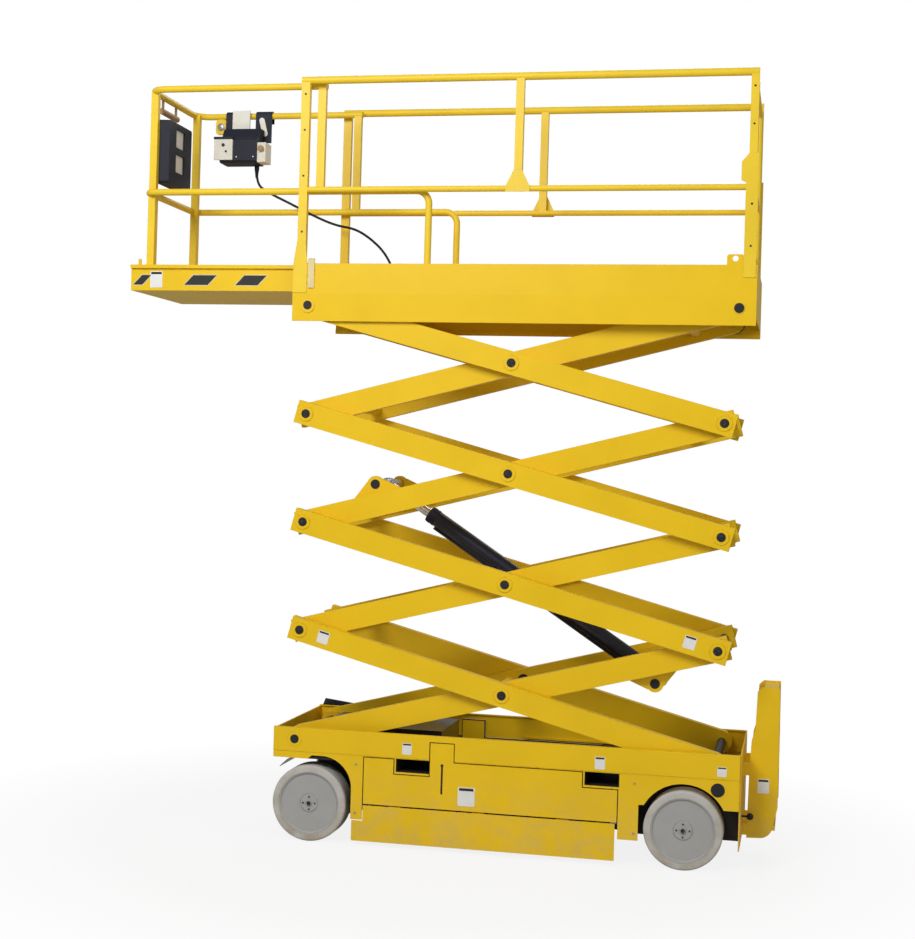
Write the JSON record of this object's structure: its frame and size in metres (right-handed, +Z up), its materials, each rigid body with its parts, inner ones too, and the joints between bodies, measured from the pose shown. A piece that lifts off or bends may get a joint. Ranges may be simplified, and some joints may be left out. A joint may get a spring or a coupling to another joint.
{
  "type": "scissor lift",
  "caption": "Self-propelled electric scissor lift, raised, with sliding platform extension, folding pothole guards, rear gate, steered front wheels and a hydraulic cylinder",
  "frame": {"origin": "on the ground under the middle of the whole machine, extension and ladder included", "axes": "+X towards the ladder end, +Y to the far side of the picture, +Z up"},
  "size_m": [3.347, 0.818, 3.829],
  "materials": {
    "yellow_paint": "warm yellow machine enamel, semi-gloss",
    "tyre_grey": "grey non-marking solid tyre",
    "rim_grey": "pale grey paint, dusty",
    "pin_black": "blackened steel",
    "dark_paint": "blue-black enamel",
    "black_plastic": "matte black plastic",
    "rod_chrome": "hard chrome",
    "axle_grey": "dark grey paint",
    "panel_cream": "cream panel",
    "cable_rubber": "black rubber",
    "lamp_tan": "tan paint"
  },
  "bodies": {
    "base": {"chassis_side_near": "yellow_paint", "chassis_side_far": "yellow_paint", "chassis_core": "yellow_paint", "front_axle": "axle_grey", "rear_axle": "axle_grey", "battery_pack": "black_plastic", "power_unit": "dark_paint", "inner_fenders": "dark_paint", "ladder": "yellow_paint", "base_pin": "pin_black", "release_knob": "black_plastic", "side_hinges": "pin_black"},
    "inner_arm_1": {"inner_arms_1": "yellow_paint", "cylinder_pin": "pin_black"},
    "inner_arm_2": {"inner_arms_2": "yellow_paint"},
    "inner_arm_3": {"inner_arms_3": "yellow_paint", "eye_pins": "pin_black"},
    "inner_arm_4": {"inner_arms_4": "yellow_paint", "deck_slide": "pin_black"},
    "barrel": {"cylinder_barrel": "dark_paint"},
    "rod": {"cylinder_rod": "rod_chrome"},
    "platform": {"deck": "yellow_paint", "deck_pins": "pin_black", "rails_near": "yellow_paint", "rails_far": "yellow_paint", "rails_rear": "yellow_paint"},
    "extension": {"extension_deck": "yellow_paint", "extension_rails": "yellow_paint", "control_box": "black_plastic", "control_panel": "panel_cream", "document_box": "black_plastic", "rail_lamp": "lamp_tan", "control_cable": "cable_rubber"},
    "gate": {"gate": "yellow_paint"},
    "tie_rod": {"tie_rod": "axle_grey"},
    "outer_arm_1": {"outer_arms_1": "yellow_paint", "pins_1": "pin_black"},
    "outer_arm_2": {"outer_arms_2": "yellow_paint", "pins_2": "pin_black"},
    "outer_arm_3": {"outer_arms_3": "yellow_paint", "pins_3": "pin_black"},
    "outer_arm_4": {"outer_arms_4": "yellow_paint", "pins_4": "pin_black"},
    "knuckle_near": {"knuckle_near": "axle_grey"},
    "wheel_front_near": {"tyre_front_near": "tyre_grey", "rim_front_near": "rim_grey"},
    "wheel_rear_near": {"tyre_rear_near": "tyre_grey", "rim_rear_near": "rim_grey"},
    "door_near": {"door_near": "yellow_paint"},
    "guard_near": {"guard_near": "yellow_paint"},
    "knuckle_far": {"knuckle_far": "axle_grey"},
    "wheel_front_far": {"tyre_front_far": "tyre_grey", "rim_front_far": "rim_grey"},
    "wheel_rear_far": {"tyre_rear_far": "tyre_grey", "rim_rear_far": "rim_grey"},
    "door_far": {"door_far": "yellow_paint"},
    "guard_far": {"guard_far": "yellow_paint"}
  },
  "joints": [
    {"name": "lift", "type": "hinge", "parent": "base", "child": "inner_arm_1", "pos_m": [-0.7055, 0, 0.508], "axis": [0, -1, 0], "range_deg": [-11.41, 45.36]},
    {"name": "scissor_1", "type": "hinge", "parent": "inner_arm_1", "child": "outer_arm_1", "pos_m": [0.3346, 0, 0.7797], "axis": [0, -1, 0], "range_deg": [-91, 23]},
    {"name": "elbow_1", "type": "hinge", "parent": "outer_arm_1", "child": "inner_arm_2", "pos_m": [-0.7055, 0, 1.0514], "axis": [0, -1, 0], "range_deg": [-23, 91]},
    {"name": "scissor_2", "type": "hinge", "parent": "inner_arm_2", "child": "outer_arm_2", "pos_m": [0.3346, 0, 1.3231], "axis": [0, -1, 0], "range_deg": [-91, 23]},
    {"name": "elbow_2", "type": "hinge", "parent": "outer_arm_2", "child": "inner_arm_3", "pos_m": [-0.7055, 0, 1.5948], "axis": [0, -1, 0], "range_deg": [-23, 91]},
    {"name": "scissor_3", "type": "hinge", "parent": "inner_arm_3", "child": "outer_arm_3", "pos_m": [0.3346, 0, 1.8665], "axis": [0, -1, 0], "range_deg": [-91, 23]},
    {"name": "elbow_3", "type": "hinge", "parent": "outer_arm_3", "child": "inner_arm_4", "pos_m": [-0.7055, 0, 2.1382], "axis": [0, -1, 0], "range_deg": [-23, 91]},
    {"name": "scissor_4", "type": "hinge", "parent": "inner_arm_4", "child": "outer_arm_4", "pos_m": [0.3346, 0, 2.4099], "axis": [0, -1, 0], "range_deg": [-91, 23]},
    {"name": "platform_level", "type": "hinge", "parent": "outer_arm_4", "child": "platform", "pos_m": [-0.7055, 0, 2.6816], "axis": [0, -1, 0], "range_deg": [-11.7, 45.7]},
    {"name": "cylinder_swing", "type": "hinge", "parent": "inner_arm_1", "child": "barrel", "pos_m": [1.07177, 0, 0.86581], "axis": [0, -1, 0], "range_deg": [-97, 24.6]},
    {"name": "cylinder_stroke", "type": "slide", "parent": "barrel", "child": "rod", "axis": [-0.8398, 0, 0.5429], "range_m": [-0.235, 0.925]},
    {"name": "steer_near", "type": "hinge", "parent": "base", "child": "knuckle_near", "pos_m": [-0.6235, -0.29, 0.19], "axis": [0, 0, 1], "range_deg": [-60, 60]},
    {"name": "steer_far", "type": "hinge", "parent": "base", "child": "knuckle_far", "pos_m": [-0.6235, 0.29, 0.19], "axis": [0, 0, 1], "range_deg": [-60.5, 60.5]},
    {"name": "tie_rod_swing", "type": "hinge", "parent": "knuckle_near", "child": "tie_rod", "pos_m": [-0.5485, -0.29, 0.117], "axis": [0, 0, 1], "range_deg": [-60.5, 60.5]},
    {"name": "wheel_front_near_spin", "type": "hinge", "parent": "knuckle_near", "child": "wheel_front_near", "pos_m": [-0.6235, -0.34, 0.19], "axis": [0, 1, 0], "continuous": true},
    {"name": "wheel_rear_near_spin", "type": "hinge", "parent": "base", "child": "wheel_rear_near", "pos_m": [1.2365, -0.34, 0.19], "axis": [0, 1, 0], "continuous": true},
    {"name": "wheel_front_far_spin", "type": "hinge", "parent": "knuckle_far", "child": "wheel_front_far", "pos_m": [-0.6235, 0.34, 0.19], "axis": [0, 1, 0], "continuous": true},
    {"name": "wheel_rear_far_spin", "type": "hinge", "parent": "base", "child": "wheel_rear_far", "pos_m": [1.2365, 0.34, 0.19], "axis": [0, 1, 0], "continuous": true},
    {"name": "extension_slide", "type": "slide", "parent": "platform", "child": "extension", "axis": [1, 0, 0], "range_m": [-0.03, 0.87]},
    {"name": "gate_swing", "type": "hinge", "parent": "platform", "child": "gate", "pos_m": [1.4785, -0.345, 3.3], "axis": [0, 0, 1], "range_deg": [0, 90]},
    {"name": "door_near_swing", "type": "hinge", "parent": "base", "child": "door_near", "pos_m": [0.9025, -0.392, 0.29], "axis": [0, 0, 1], "range_deg": [0, 90]},
    {"name": "door_far_swing", "type": "hinge", "parent": "base", "child": "door_far", "pos_m": [0.9025, 0.392, 0.29], "axis": [0, 0, -1], "range_deg": [0, 90]},
    {"name": "guard_near_fold", "type": "hinge", "parent": "base", "child": "guard_near", "pos_m": [0.3065, -0.39, 0.193], "axis": [1, 0, 0], "range_deg": [0, 88]},
    {"name": "guard_far_fold", "type": "hinge", "parent": "base", "child": "guard_far", "pos_m": [0.3065, 0.39, 0.193], "axis": [-1, 0, 0], "range_deg": [0, 88]}
  ],
  "couplings": [
    {"joint": "scissor_1", "follows": "lift", "ratio": -2},
    {"joint": "elbow_1", "follows": "lift", "ratio": 2},
    {"joint": "scissor_2", "follows": "lift", "ratio": -2},
    {"joint": "elbow_2", "follows": "lift", "ratio": 2},
    {"joint": "scissor_3", "follows": "lift", "ratio": -2},
    {"joint": "elbow_3", "follows": "lift", "ratio": 2},
    {"joint": "scissor_4", "follows": "lift", "ratio": -2},
    {"joint": "platform_level", "follows": "lift", "ratio": 1},
    {"joint": "cylinder_swing", "follows": "lift", "ratio": -2.12},
    {"joint": "cylinder_stroke", "follows": "lift", "m_per_rad": 1.16},
    {"joint": "steer_far", "follows": "steer_near", "ratio": 1},
    {"joint": "tie_rod_swing", "follows": "steer_near", "ratio": -1}
  ]
}
